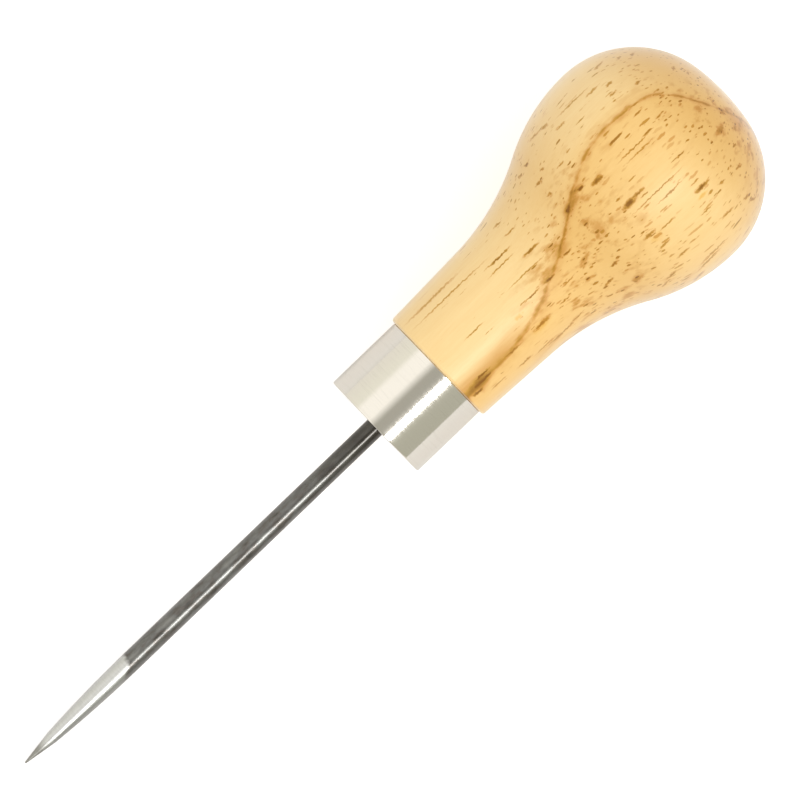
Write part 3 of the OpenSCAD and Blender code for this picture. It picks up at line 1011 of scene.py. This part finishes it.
@dataclass(frozen=True)
class ScaledSteelWithGroundPoint:
    """Carbon steel rod that keeps its rolling scale and is ground bright at its end.

    The eye sees mottled dark grey with a tight glossy highlight, then, past an uneven edge, bright
    steel with fine scratches across it from the grinding belt.
    """

    name: str = "carbon_steel_scaled_ground_point"
    # The scale's mottling: length and width of its spots, their tones, depth and roughness
    mottle: tuple[float, float] = (3.75, 1.5)
    scale_tones: Stops = ((0.35, "#444340"), (0.43, "#5A5550"), (0.5, "#61615F"), (0.68, "#7A7A76"))
    scale_metal: float = 0.7
    scale_depth: float = 0.0025
    scale_gloss: tuple[float, float] = (0.27, 0.33)
    # Painted shade darkens the shank towards the ferrule, from the first of these stations to the
    # second, and the shank is glossier there by this factor
    ferrule_shade_ends: tuple[float, float] = (57.0, 71.0)
    ferrule_shade_colour: str = "#9A948B"
    oiled_gloss: float = 0.72
    ground: str = "#CBCCCA"
    ground_roughness: float = 0.41
    # The honed point is painted darker, a painted shade for the duller reflection of its steep cone,
    # up to this station, and fades into the grind before it
    honed: str = "#93928D"
    point_shade_to: float = 5.0
    point_shade_fade: float = 2.4
    # The ground end is greyer on the lower right, in a strip that starts between these two sides
    grey_strip: str = "#C7C7C5"
    strip_ends: tuple[float, float] = (0.4, 0.66)
    # The ground end stops at this station, and earlier and more softly towards the lower right, by
    # these two lengths for each millimetre of side
    ground_to: float = 22.5
    ground_slant: float = 2.2
    ground_widen: float = 1.2
    # Its edge is ragged: waves in a millimetre, how far they reach, and half the edge's own width
    ground_waves: float = 0.9
    ground_ragged: float = 1.6
    half_edge: float = 0.35
    # Belt scratches across the tool: their width and length, their depth, and the tones of the steel
    belt: tuple[float, float] = (0.11, 1.2)
    belt_depth: float = 0.004
    belt_tones: tuple[float, float] = (0.86, 1.04)
    # Small flats that the hand left while it turned the rod on the belt: length, width and depth
    flat_size: tuple[float, float] = (1.8, 0.45)
    flat_depth: float = 0.022
    # A thin film of oil keeps a crisp highlight on the steel
    oil_film: float = 0.85
    oil_roughness: float = 0.14

    def material(self, axis: ToolAxis) -> bpy.types.Material:
        """Makes the material.

        Args:
            axis: the tool's axis.

        Returns:
            The material.
        """
        material, tree, output = new_material(self.name)
        place = axis.coordinates(tree)
        bright = self.ground_mask(tree, place)
        along = add_node(tree, "ShaderNodeSeparateXYZ", {0: place})
        # Share of the painted shade near the ferrule, which also makes the scale glossier
        near_ferrule = add_node(tree, "ShaderNodeMapRange", {
            0: along.outputs[0], 1: self.ferrule_shade_ends[0], 2: self.ferrule_shade_ends[1]}).outputs[0]
        mottle = stretched_noise(tree, place, self.mottle, 6.0, 0.65)
        belt = stretched_noise(tree, place, self.belt, 3.0, 0.6)
        colour = add_node(tree, "ShaderNodeMix", {
            0: bright, 6: self.scale_colour(tree, mottle, near_ferrule), 7: self.ground_colour(tree, along, belt)},
            data_type="RGBA")
        low, high = NOISE_ENDS
        dry = add_node(tree, "ShaderNodeMapRange", {
            0: mottle.outputs[0], 1: low, 2: high, 3: self.scale_gloss[0], 4: self.scale_gloss[1]})
        slick = add_node(tree, "ShaderNodeMapRange", {0: near_ferrule, 3: 1.0, 4: self.oiled_gloss})
        scale_gloss = joined(tree, "MULTIPLY", (dry.outputs[0], slick.outputs[0]))
        rough = add_node(tree, "ShaderNodeMix", {0: bright, 2: scale_gloss, 3: self.ground_roughness},
                         data_type="FLOAT")
        metal = add_node(tree, "ShaderNodeMapRange", {0: bright, 3: self.scale_metal})
        pitted = add_node(tree, "ShaderNodeBump", {
            "Strength": 1.0, "Distance": self.scale_depth * MM, "Height": mottle.outputs[0]})
        flats = stretched_noise(tree, place, self.flat_size, 1.0)
        uneven = add_node(tree, "ShaderNodeBump", {
            "Strength": bright, "Distance": self.flat_depth * MM, "Height": flats.outputs[0],
            "Normal": pitted.outputs[0]})
        scratched = add_node(tree, "ShaderNodeBump", {
            "Strength": bright, "Distance": self.belt_depth * MM, "Height": belt.outputs[0],
            "Normal": uneven.outputs[0]})
        shader = add_node(tree, "ShaderNodeBsdfPrincipled", {
            "Base Color": colour.outputs[2], "Metallic": metal.outputs[0], "Roughness": rough.outputs[0],
            "Normal": scratched.outputs[0], "Coat Weight": self.oil_film,
            "Coat Roughness": self.oil_roughness})
        tree.links.new(shader.outputs[0], output.inputs["Surface"])
        return material

    def scale_colour(self, tree: bpy.types.NodeTree, mottle: bpy.types.Node, near_ferrule: Socket) -> Socket:
        """Adds the colour of the rolling scale, mottled by its noise, with painted shade that darkens it
        towards the ferrule.

        Args:
            tree: the material's node tree.
            mottle: the scale's noise.
            near_ferrule: the share of the painted shade near the ferrule, from 0 to 1.

        Returns:
            The colour.
        """
        scale = add_node(tree, "ShaderNodeValToRGB", {0: mottle.outputs[0]})
        fill_ramp(scale, self.scale_tones)
        ferrule_shade_tint = add_node(tree, "ShaderNodeMix", {
            0: near_ferrule, 6: (1.0, 1.0, 1.0, 1.0), 7: linear_colour(self.ferrule_shade_colour)}, data_type="RGBA")
        return add_node(tree, "ShaderNodeVectorMath", {0: scale.outputs[0], 1: ferrule_shade_tint.outputs[2]},
                        operation="MULTIPLY").outputs[0]

    def ground_colour(self, tree: bpy.types.NodeTree, along: bpy.types.Node,
                      belt: bpy.types.Node) -> Socket:
        """Adds the colour of the ground end: bright steel, its honed point with painted shade, grey strip
        and scratches.

        Args:
            tree: the material's node tree.
            along: the node that gives station, side and height.
            belt: the scratches' noise.

        Returns:
            The colour.
        """
        # Painted shade: the honed point is darker than the rest of the ground end
        honed = add_node(tree, "ShaderNodeMapRange", {
            0: along.outputs[0], 1: self.point_shade_to - self.point_shade_fade, 2: self.point_shade_to, 3: 1.0, 4: 0.0},
            interpolation_type="SMOOTHSTEP")
        bare = add_node(tree, "ShaderNodeMix", {
            0: honed.outputs[0], 6: linear_colour(self.ground), 7: linear_colour(self.honed)},
            data_type="RGBA")
        beside = add_node(tree, "ShaderNodeMapRange", {
            0: along.outputs[1], 1: self.strip_ends[0], 2: self.strip_ends[1]},
            interpolation_type="SMOOTHSTEP")
        strip = add_node(tree, "ShaderNodeMix", {
            0: beside.outputs[0], 6: (1.0, 1.0, 1.0, 1.0), 7: linear_colour(self.grey_strip)},
            data_type="RGBA")
        greyed = add_node(tree, "ShaderNodeVectorMath", {0: bare.outputs[2], 1: strip.outputs[2]},
                          operation="MULTIPLY")
        low, high = NOISE_ENDS
        worn = add_node(tree, "ShaderNodeMapRange", {
            0: belt.outputs[0], 1: low, 2: high, 3: self.belt_tones[0], 4: self.belt_tones[1]})
        return add_node(tree, "ShaderNodeVectorMath", {0: greyed.outputs[0], 1: worn.outputs[0]},
                        operation="MULTIPLY").outputs[0]

    def ground_mask(self, tree: bpy.types.NodeTree, place: Socket) -> Socket:
        """Adds the uneven edge of the ground end.

        A point is ground where station + slant x side + ragged x (noise - 0.5) < the end's station,
        with the side counted from 0 up. The edge's width is 2 x half edge + widen x side.

        Args:
            tree: the material's node tree.
            place: station, side and height in millimetres.

        Returns:
            1 on the ground end, 0 on the scale.
        """
        noise = add_node(tree, "ShaderNodeTexNoise", {
            "Vector": place, "Scale": self.ground_waves, "Detail": 4.0})
        uneven = add_node(tree, "ShaderNodeMath", {
            0: noise.outputs[0], 1: self.ground_ragged, 2: -self.ground_ragged / 2},
            operation="MULTIPLY_ADD")
        parts = add_node(tree, "ShaderNodeSeparateXYZ", {0: place})
        side = add_node(tree, "ShaderNodeMath", {0: parts.outputs[1], 1: 0.0}, operation="MAXIMUM")
        slanted = add_node(tree, "ShaderNodeMath", {
            0: side.outputs[0], 1: self.ground_slant, 2: parts.outputs[0]}, operation="MULTIPLY_ADD")
        edge = joined(tree, "ADD", (slanted.outputs[0], uneven.outputs[0]))
        fade = add_node(tree, "ShaderNodeMath", {
            0: side.outputs[0], 1: self.ground_widen, 2: self.ground_to + self.half_edge},
            operation="MULTIPLY_ADD")
        return add_node(tree, "ShaderNodeMapRange", {
            0: edge, 1: self.ground_to - self.half_edge, 2: fade.outputs[0], 3: 1.0, 4: 0.0},
            interpolation_type="SMOOTHSTEP").outputs[0]


def hand_over(piece: bpy.types.Object, node: str, material: bpy.types.Material) -> None:
    """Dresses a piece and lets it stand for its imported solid.

    Args:
        piece: the finished object.
        node: name of the solid that it replaces.
        material: the finish.
    """
    piece.data.materials.append(material)
    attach(piece, BODY)
    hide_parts(node)
    low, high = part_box(node)
    LOG.info("%s: %d faces, replaces %s (%.1f mm long)", piece.name, len(piece.data.polygons), node,
             (high - low).length / MM)


@dataclass
class Blade:
    """Round steel: honed point, long grind and shank, then a thinner tang with two pinched ears."""

    shank_d: float = 3.3
    reach: float = 75.2
    grind_l: float = 23.0
    point_l: float = 5.6
    point_d: float = 1.94
    tip_r: float = 0.15
    # How deep the shoulder and the spigot's face lie behind the ferrule's front edge
    recess: float = 0.6
    shoulder_bevel: float = 0.15
    tang_d: float = 2.4
    tang_l: float = 35.0
    tang_bevel: float = 0.5
    ear_span: float = 4.8
    ear_t: float = 0.9
    ear_l: float = 9.0
    ear_slope: float = 2.0
    ear_setback: float = 4.0
    around: int = 120
    # Longest steps along the outline, and along the tip's small ball
    step: float = 0.5
    tip_step: float = 0.02
    finish: ScaledSteelWithGroundPoint = field(default_factory=ScaledSteelWithGroundPoint)

    @property
    def shoulder_station(self) -> float:
        """Station of the shank's shoulder, which bears on the spigot's face."""
        return self.reach + self.recess

    @property
    def tang_end(self) -> float:
        """Station of the tang's end."""
        return self.shoulder_station + self.tang_l

    @property
    def mount_station(self) -> float:
        """Station of the middle of the full shank, where the record measures it."""
        return (self.grind_l + self.shoulder_station - self.shoulder_bevel) / 2

    def outline(self) -> np.ndarray:
        """Outline from the tip to the tang's end.

        The honed point is the tangent cone of the small round tip. The long grind is an arc of
        radius (run^2 + fall^2) / (2 fall), which leaves the shank without a corner.

        Returns:
            Rows of radius and station.
        """
        shank_r, point_r, tang_r = self.shank_d / 2, self.point_d / 2, self.tang_d / 2
        tip_centre = np.array([0.0, self.tip_r])
        base = np.array([point_r, self.point_l])
        cone = math.degrees(math.acos(self.tip_r / np.linalg.norm(base - tip_centre)))
        fall, run = shank_r - point_r, self.grind_l - self.point_l
        grind_r = (run ** 2 + fall ** 2) / (2 * fall)
        grind_centre = np.array([shank_r - grind_r, self.grind_l])
        bevel = self.shoulder_bevel
        return split_long(np.vstack([
            arc(tip_centre, self.tip_r, -90, bearing(tip_centre, base) - cone, self.tip_step)[1:],
            arc(grind_centre, grind_r, bearing(grind_centre, base), 0, self.step),
            [[shank_r, self.shoulder_station - bevel],
             [shank_r - bevel, self.shoulder_station],
             [tang_r, self.shoulder_station],
             [tang_r, self.tang_end - self.tang_bevel],
             [tang_r - self.tang_bevel, self.tang_end]]]), self.step)

    def ears(self, stations: np.ndarray) -> np.ndarray:
        """Works out half the span of the pinched ears, which slope at both ends.

        Args:
            stations: stations along the blade.

        Returns:
            Half the span at each station, and 0 where there are no ears.
        """
        back = self.tang_end - self.ear_setback
        front = back - self.ear_l
        half, root = self.ear_span / 2, self.tang_d / 4
        return np.interp(stations, [front, front + self.ear_slope, back - self.ear_slope, back],
                         [root, half, half, root], left=0.0, right=0.0)

    def build(self, axis: ToolAxis) -> bpy.types.Object:
        """Makes the blade and its finish.

        Args:
            axis: the tool's axis.

        Returns:
            The blade.
        """
        outline = self.outline()
        grid = turned_grid(outline, self.around, self.ears(outline[:, 1]), self.ear_t / 2)
        piece = skin("blade_steel_rod", grid, axis, ring=False)
        hand_over(piece, "blade", self.finish.material(axis))
        return piece


@dataclass
class Ferrule:
    """Plated tube with its edges dressed round, pressed over the handle's spigot."""

    front: float
    outer_d: float = 19.0
    length: float = 13.3
    wall: float = 0.8
    edge_r: float = 0.2
    around: int = 288
    # Longest steps along the outline, and along its rounded edges
    step: float = 0.35
    edge_step: float = 0.03
    finish: PolishedNickelPlate = field(default_factory=PolishedNickelPlate)

    @property
    def back(self) -> float:
        """Station of the ferrule's back edge."""
        return self.front + self.length

    def outline(self) -> np.ndarray:
        """Closed outline: inner front edge, outer front edge, outer back edge, inner back edge.

        Returns:
            Rows of radius and station, without the first one repeated at the end.
        """
        outer, inner, edge = self.outer_d / 2, self.outer_d / 2 - self.wall, self.edge_r
        loop = np.vstack([
            arc((inner + edge, self.front + edge), edge, -180, -90, self.edge_step),
            arc((outer - edge, self.front + edge), edge, -90, 0, self.edge_step),
            arc((outer - edge, self.back - edge), edge, 0, 90, self.edge_step),
            [[inner, self.back], [inner, self.front + edge]]])
        return split_long(loop, self.step)[:-1]

    def build(self, axis: ToolAxis) -> bpy.types.Object:
        """Makes the ferrule and its finish.

        Args:
            axis: the tool's axis.

        Returns:
            The ferrule.
        """
        piece = skin("ferrule_plated_tube", turned_grid(self.outline(), self.around), axis, ring=True)
        hand_over(piece, "ferrule", self.finish.material(axis))
        return piece


@dataclass
class Handle:
    """Turned handle: spigot, shoulder, neck, hollow throat, round belly and butt."""

    blade: Blade
    ferrule: Ferrule
    length: float = 61.6
    shoulder_d: float = 20.4
    corner_r: float = 0.5
    neck_slope: float = 2.3
    throat_r: float = 37.5
    belly_d: float = 38.2
    swell_r: float = 30.0
    belly_to_butt: float = 16.2
    butt_r: float = 36.0
    spigot_bevel: float = 0.5
    hole_undersize: float = 0.4
    hole_spare: float = 2.0
    drill_angle: float = 118.0
    around: int = 240
    # Longest steps along the outline and along the shoulder's corner, and the radius of a pole's ring
    step: float = 0.4
    corner_step: float = 0.06
    pole_r: float = 0.01
    finish: ClearLacqueredRubberwood = field(default_factory=ClearLacqueredRubberwood)

    def hole(self) -> np.ndarray:
        """Outline of the tang's hole, from the bottom of the drilled end out to the spigot's face.

        Returns:
            Rows of radius and station.
        """
        tang_r = self.blade.tang_d / 2
        hole_r = tang_r - self.hole_undersize / 2
        bottom = self.blade.tang_end + self.hole_spare
        cone = hole_r / math.tan(math.radians(self.drill_angle / 2))
        seat = self.blade.tang_end - self.blade.tang_bevel
        return np.array([[self.pole_r, bottom + cone], [hole_r, bottom],
                         [hole_r, seat + tang_r - hole_r], [tang_r, seat],
                         [tang_r, self.blade.shoulder_station]])

    def outside(self) -> np.ndarray:
        """Outline from the spigot's face to the butt.

        Butt cap, rear of the belly, swell, throat and straight neck each meet the next without a
        corner: two arcs touch where their centres line up with the join.

        Returns:
            Rows of radius and station.
        """
        shoulder, face = self.ferrule.back, self.blade.shoulder_station
        butt = shoulder + self.length
        belly = butt - self.belly_to_butt
        belly_r, spigot_r = self.belly_d / 2, self.ferrule.outer_d / 2 - self.ferrule.wall
        butt_centre = np.array([0.0, butt - self.butt_r])
        rear_r = ((2 * self.butt_r * self.belly_to_butt - self.belly_to_butt ** 2 - belly_r ** 2)
                  / (2 * (self.butt_r - belly_r)))
        rear_centre = np.array([belly_r - rear_r, belly])
        butt_join = bearing(butt_centre, rear_centre)
        swell_centre = np.array([belly_r - self.swell_r, belly])
        slope = math.radians(self.neck_slope)
        along = np.array([math.sin(slope), math.cos(slope)])
        out = np.array([math.cos(slope), -math.sin(slope)])
        foot = np.array([self.shoulder_d / 2, shoulder])
        throat_foot = foot + self.throat_r * out
        offset = throat_foot - swell_centre
        run = -offset @ along - math.sqrt(
            (offset @ along) ** 2 - offset @ offset + (self.swell_r + self.throat_r) ** 2)
        throat_centre = throat_foot + run * along
        throat_join = bearing(throat_centre, swell_centre)
        rise = self.corner_r * (1 - math.sin(slope)) / math.cos(slope)
        corner_centre = foot + rise * along - self.corner_r * out
        return np.vstack([
            [[spigot_r - self.spigot_bevel, face], [spigot_r, face + self.spigot_bevel],
             [spigot_r, shoulder]],
            arc(corner_centre, self.corner_r, -90, -self.neck_slope, self.corner_step),
            arc(throat_centre, self.throat_r, 180 - self.neck_slope, throat_join, self.step),
            arc(swell_centre, self.swell_r, throat_join - 180, 0, self.step)[1:],
            arc(rear_centre, rear_r, 0, butt_join, self.step)[1:],
            arc(butt_centre, self.butt_r, butt_join, 90, self.step)[1:-1]])

    def build(self, axis: ToolAxis) -> bpy.types.Object:
        """Makes the handle and its finish.

        Args:
            axis: the tool's axis.

        Returns:
            The handle.
        """
        outline = split_long(np.vstack([self.hole(), self.outside()]), self.step)
        inside = np.arange(len(outline)) < len(split_long(self.hole(), self.step))
        ear_back = self.blade.tang_end - self.blade.ear_setback
        slot = np.where(inside & (outline[:, 1] < ear_back), self.blade.ear_span / 2, 0.0)
        grid = turned_grid(outline, self.around, slot, self.blade.ear_t / 2)
        piece = skin("handle_turned_wood", grid, axis, ring=False)
        hand_over(piece, "handle", self.finish.material(axis))
        return piece


@dataclass(frozen=True)
class Band:
    """One strip of the studio that the metal mirrors.

    Attributes:
        angle: its angle round the tool's axis in degrees, 0 towards the camera and 90 towards the
            lower right of the picture.
        colour: its colour, of which the studio's level makes full light.
    """

    angle: float
    colour: str


@dataclass
class Studio:
    """Pale floor, soft studio light and the camera.

    The studio's soft walls differ a little in tone all round the tool's axis, as a room with a
    window on one side and a grey wall on the other does, and one long soft lamp stands over the
    lower right.
    """

    axis: ToolAxis
    level: float = 1.25
    fill: str = "#F6F2EC"
    # The soft light from the upper left of the picture, and from the lower right
    fill_levels: tuple[float, float] = (1.1, 0.96)
    bands: tuple[Band, ...] = (
        Band(-180, "#E4E1D9"), Band(-95, "#E2DFD7"), Band(-80, "#E2DFD5"), Band(-54, "#E6E4D8"),
        Band(-44, "#FBF8F2"), Band(-17, "#FBF8F2"), Band(-2, "#A8A69D"), Band(20, "#A4A299"),
        Band(40, "#B0AFA2"), Band(91, "#AFAEA1"), Band(100, "#DFDCD3"), Band(180, "#E4E1D9"))
    lamp_angle: float = 31.9
    lamp_width: float = 12.3
    lamp_distance: float = 1.2
    # The lamp that lights all, and the longer glow round it that only glossy surfaces mirror
    lamp_length: float = 0.5
    lamp_radiance: float = 9.3
    glow_length: float = 0.74
    glow_radiance: float = 15.8
    floor_radius: float = 1.6
    floor_sides: int = 128
    floor_colour: str = "#E7E7E7"
    # White added to the floor where it is seen or mirrored, beside the light that falls on it
    floor_lift_seen: float = 0.5
    floor_lift_mirrored: float = 0.03
    camera_distance: float = 0.9
    # Nearest and furthest distance that the camera sees
    camera_reach: tuple[float, float] = (0.05, 20.0)
    sensor: float = 36.0
    picture_px: float = 800.0
    pixel: float = 0.155
    # The tool's axis rises this much in the picture, whose middle lies at this station and side
    axis_rise: float = 43.84
    aim_station: float = 80.87
    aim_side: float = -0.341

    def build_camera(self) -> bpy.types.Object:
        """Makes the camera, square to the tool's axis, and gives it the picture's framing.

        The lens is sensor x distance / picture width at the tool. The picture's right is
        along cos r + aside sin r and its up is along sin r - aside cos r, where r is the rise of
        the tool's axis in the picture.

        Returns:
            The camera.
        """
        rise = math.radians(self.axis_rise)
        along, aside, up = self.axis.along, self.axis.aside, self.axis.up
        right = along * math.cos(rise) + aside * math.sin(rise)
        over = along * math.sin(rise) - aside * math.cos(rise)
        data = bpy.data.cameras.new("camera")
        data.sensor_width = self.sensor
        data.lens = self.sensor * self.camera_distance / (self.picture_px * self.pixel * MM)
        data.clip_start, data.clip_end = self.camera_reach
        camera = bpy.data.objects.new("camera", data)
        turn = Matrix([right, over, up]).transposed().to_4x4()
        aim = self.axis.point(self.aim_station, self.aim_side)
        camera.matrix_world = Matrix.Translation(aim + Vector(up) * self.camera_distance) @ turn
        bpy.context.scene.collection.objects.link(camera)
        bpy.context.scene.camera = camera
        return camera

    def build_lamp(self, name: str, length: float, radiance: float, matt: bool) -> bpy.types.Object:
        """Makes a long soft lamp over the lower right. Its power is pi x area x radiance.

        Args:
            name: the lamp's name.
            length: its length along the tool, in metres.
            radiance: its radiance.
            matt: whether it also lights matt surfaces.

        Returns:
            The lamp.
        """
        angle = math.radians(self.lamp_angle)
        along, aside, up = (Vector(v) for v in (self.axis.along, self.axis.aside, self.axis.up))
        away = up * math.cos(angle) + aside * math.sin(angle)
        data = bpy.data.lights.new(name, "AREA")
        data.shape = "RECTANGLE"
        data.size = 2 * self.lamp_distance * math.tan(math.radians(self.lamp_width / 2))
        data.size_y = length
        data.energy = math.pi * data.size * data.size_y * radiance
        lamp = bpy.data.objects.new(name, data)
        turn = Matrix([along.cross(away), along, away]).transposed().to_4x4()
        middle = self.axis.point(self.aim_station) + away * self.lamp_distance
        lamp.matrix_world = Matrix.Translation(middle) @ turn
        lamp.visible_camera = False
        lamp.visible_diffuse = matt
        bpy.context.scene.collection.objects.link(lamp)
        return lamp

    def build_walls(self) -> bpy.types.World:
        """Paints the studio's soft walls in the world, by the angle round the tool's axis.

        The angle is atan2(direction . aside, direction . up). Camera rays see plain white, mirrored
        rays the walls, and matt surfaces are lit by their even mean.

        Returns:
            The world.
        """
        world = bpy.data.worlds.new("studio")
        world.use_nodes = True
        tree = world.node_tree
        tree.nodes.clear()
        way = add_node(tree, "ShaderNodeTexCoord").outputs["Generated"]
        aside = add_node(tree, "ShaderNodeVectorMath", {0: way, 1: tuple(self.axis.aside)},
                         operation="DOT_PRODUCT")
        up = add_node(tree, "ShaderNodeVectorMath", {0: way, 1: tuple(self.axis.up)},
                      operation="DOT_PRODUCT")
        angle = add_node(tree, "ShaderNodeMath", {
            0: aside.outputs["Value"], 1: up.outputs["Value"]}, operation="ARCTAN2")
        place = add_node(tree, "ShaderNodeMapRange", {0: angle.outputs[0], 1: -math.pi, 2: math.pi})
        walls = add_node(tree, "ShaderNodeValToRGB", {0: place.outputs[0]})
        fill_ramp(walls, tuple(((band.angle + 180) / 360, band.colour) for band in self.bands))
        soft = add_node(tree, "ShaderNodeMapRange", {
            0: aside.outputs["Value"], 1: -1.0, 2: 1.0, 3: self.fill_levels[0], 4: self.fill_levels[1]})
        lit = add_node(tree, "ShaderNodeBackground", {0: linear_colour(self.fill), 1: soft.outputs[0]})
        mirrored = add_node(tree, "ShaderNodeBackground", {0: walls.outputs[0], 1: self.level})
        seen = add_node(tree, "ShaderNodeBackground", {0: (1.0, 1.0, 1.0, 1.0), 1: 1.0})
        ray = add_node(tree, "ShaderNodeLightPath")
        clear = add_node(tree, "ShaderNodeMath", {
            0: ray.outputs["Is Glossy Ray"], 1: ray.outputs["Is Transmission Ray"]}, operation="MAXIMUM")
        room = add_node(tree, "ShaderNodeMixShader", {
            0: clear.outputs[0], 1: lit.outputs[0], 2: mirrored.outputs[0]})
        mixed = add_node(tree, "ShaderNodeMixShader", {
            0: ray.outputs["Is Camera Ray"], 1: room.outputs[0], 2: seen.outputs[0]})
        output = add_node(tree, "ShaderNodeOutputWorld", {"Surface": mixed.outputs[0]})
        output.is_active_output = True
        bpy.context.scene.world = world
        return world

    def build_floor(self) -> bpy.types.Object:
        """Makes the round pale floor, which keeps a faint shadow of the tool.

        Its rim is radius (cos a, sin a, 0). White light is added to it for camera rays and mirrored
        rays alone.

        Returns:
            The floor.
        """
        angles = np.linspace(0, 2 * np.pi, self.floor_sides, endpoint=False)
        rim = self.floor_radius * np.column_stack([np.cos(angles), np.sin(angles), 0 * angles])
        mesh = bpy.data.meshes.new("floor")
        mesh.from_pydata(rim.tolist(), [], [list(range(self.floor_sides))])
        floor = bpy.data.objects.new("floor", mesh)
        bpy.context.scene.collection.objects.link(floor)
        material, tree, output = new_material("floor_matt_white_paper")
        paper = add_node(tree, "ShaderNodeBsdfDiffuse", {"Color": linear_colour(self.floor_colour)})
        ray = add_node(tree, "ShaderNodeLightPath")
        mirrored = add_node(tree, "ShaderNodeMath", {
            0: ray.outputs["Is Glossy Ray"], 1: ray.outputs["Is Transmission Ray"]}, operation="MAXIMUM")
        lift = add_node(tree, "ShaderNodeMath", {
            0: mirrored.outputs[0], 1: self.floor_lift_mirrored}, operation="MULTIPLY")
        both = add_node(tree, "ShaderNodeMath", {
            0: ray.outputs["Is Camera Ray"], 1: self.floor_lift_seen, 2: lift.outputs[0]},
            operation="MULTIPLY_ADD")
        white = add_node(tree, "ShaderNodeEmission", {
            "Color": (1.0, 1.0, 1.0, 1.0), "Strength": both.outputs[0]})
        sum_of = add_node(tree, "ShaderNodeAddShader", {0: paper.outputs[0], 1: white.outputs[0]})
        tree.links.new(sum_of.outputs[0], output.inputs["Surface"])
        mesh.materials.append(material)
        return floor

    def build(self) -> None:
        """Makes the camera, the lamps, the walls and the floor."""
        self.build_camera()
        self.build_lamp("long_soft_lamp", self.lamp_length, self.lamp_radiance, matt=True)
        self.build_lamp("long_soft_glow", self.glow_length, self.glow_radiance, matt=False)
        self.build_walls()
        self.build_floor()
        bpy.context.scene.view_settings.view_transform = "Standard"
        LOG.info("studio: camera %.2f m from the tool, one long lamp and its glow", self.camera_distance)


def main() -> None:
    """Builds the studio, then the blade, the ferrule and the handle."""
    logging.basicConfig(level=logging.INFO, format="%(name)s: %(message)s")
    blade = Blade()
    ferrule = Ferrule(blade.reach)
    axis = ToolAxis.from_record(frame["record"], "shank", blade.mount_station)
    Studio(axis).build()
    blade.build(axis)
    ferrule.build(axis)
    Handle(blade, ferrule).build(axis)


if __name__ == "__main__":
    main()
